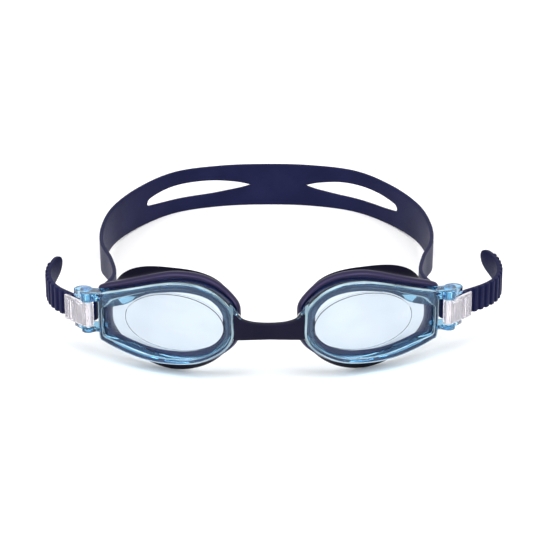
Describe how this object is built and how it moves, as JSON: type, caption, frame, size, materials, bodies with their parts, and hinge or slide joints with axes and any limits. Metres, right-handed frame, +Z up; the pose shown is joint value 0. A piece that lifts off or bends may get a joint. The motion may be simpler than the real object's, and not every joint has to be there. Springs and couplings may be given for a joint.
{
  "type": "swim goggles",
  "caption": "Swim goggles: clear blue eyecups with silicone seals, a soft nose bridge and a split head strap adjusted through swing-open clips.",
  "frame": {"origin": "centre of the bounding box on the surface the goggles stand on, in the plane midway between the eyecups to within about 1 mm", "axes": "+Z up, -Y the front of the lenses, +X the wearer's left"},
  "size_m": [0.1767, 0.17, 0.0424],
  "materials": {
    "frame_tint": "clear light blue moulded polycarbonate",
    "lens_clear": "clear polished polycarbonate with a faint blue tint",
    "seal_silicone": "soft satin navy silicone",
    "strap_silicone": "matte navy silicone",
    "bridge_silicone": "matte near-black silicone",
    "clip_clear": "clear moulded plastic",
    "pin_metal": "satin steel"
  },
  "bodies": {
    "root": {"nose_bridge": "bridge_silicone", "head_strap": "strap_silicone"},
    "left_cup": {"left_frame": "frame_tint", "left_lens": "lens_clear", "left_seal": "seal_silicone", "left_clip_pin": "pin_metal"},
    "left_clip": {"left_clip": "clip_clear"},
    "left_roller": {"left_roller": "frame_tint"},
    "left_tail": {"left_strap_tail": "strap_silicone"},
    "right_cup": {"right_frame": "frame_tint", "right_lens": "lens_clear", "right_seal": "seal_silicone", "right_clip_pin": "pin_metal"},
    "right_clip": {"right_clip": "clip_clear"},
    "right_roller": {"right_roller": "frame_tint"},
    "right_tail": {"right_strap_tail": "strap_silicone"}
  },
  "joints": [
    {"name": "left_cup_flex", "type": "hinge", "parent": "root", "child": "left_cup", "pos_m": [0.0086, -0.08222, 0.02622], "axis": [0, 0.1478, 0.989], "range_deg": [-12, 12], "stiffness_Nm_per_rad": 0.02, "deforming": ["nose_bridge", "head_strap"]},
    {"name": "left_clip_open", "type": "hinge", "parent": "left_cup", "child": "left_clip", "pos_m": [0.06853, -0.06623, 0.02383], "axis": [0, -0.1478, -0.989], "range_deg": [0, 40]},
    {"name": "left_strap_pull", "type": "slide", "parent": "left_cup", "child": "left_tail", "axis": [0.6428, 0.7576, -0.1132], "range_m": [0, 0.012]},
    {"name": "left_roller_spin", "type": "hinge", "parent": "left_cup", "child": "left_roller", "pos_m": [0.06949, -0.05863, 0.02269], "axis": [0, 0.1478, 0.989], "range_deg": [0, 225]},
    {"name": "right_cup_flex", "type": "hinge", "parent": "root", "child": "right_cup", "pos_m": [-0.0086, -0.08222, 0.02622], "axis": [0, -0.1478, -0.989], "range_deg": [-12, 12], "stiffness_Nm_per_rad": 0.02, "deforming": ["nose_bridge", "head_strap"]},
    {"name": "right_clip_open", "type": "hinge", "parent": "right_cup", "child": "right_clip", "pos_m": [-0.06853, -0.06623, 0.02383], "axis": [0, 0.1478, 0.989], "range_deg": [0, 40]},
    {"name": "right_strap_pull", "type": "slide", "parent": "right_cup", "child": "right_tail", "axis": [-0.6428, 0.7576, -0.1132], "range_m": [0, 0.012]},
    {"name": "right_roller_spin", "type": "hinge", "parent": "right_cup", "child": "right_roller", "pos_m": [-0.06949, -0.05863, 0.02269], "axis": [0, -0.1478, -0.989], "range_deg": [0, 225]}
  ],
  "couplings": [
    {"joint": "left_roller_spin", "follows": "left_strap_pull", "rad_per_m": 322.58},
    {"joint": "right_roller_spin", "follows": "right_strap_pull", "rad_per_m": 322.58}
  ]
}
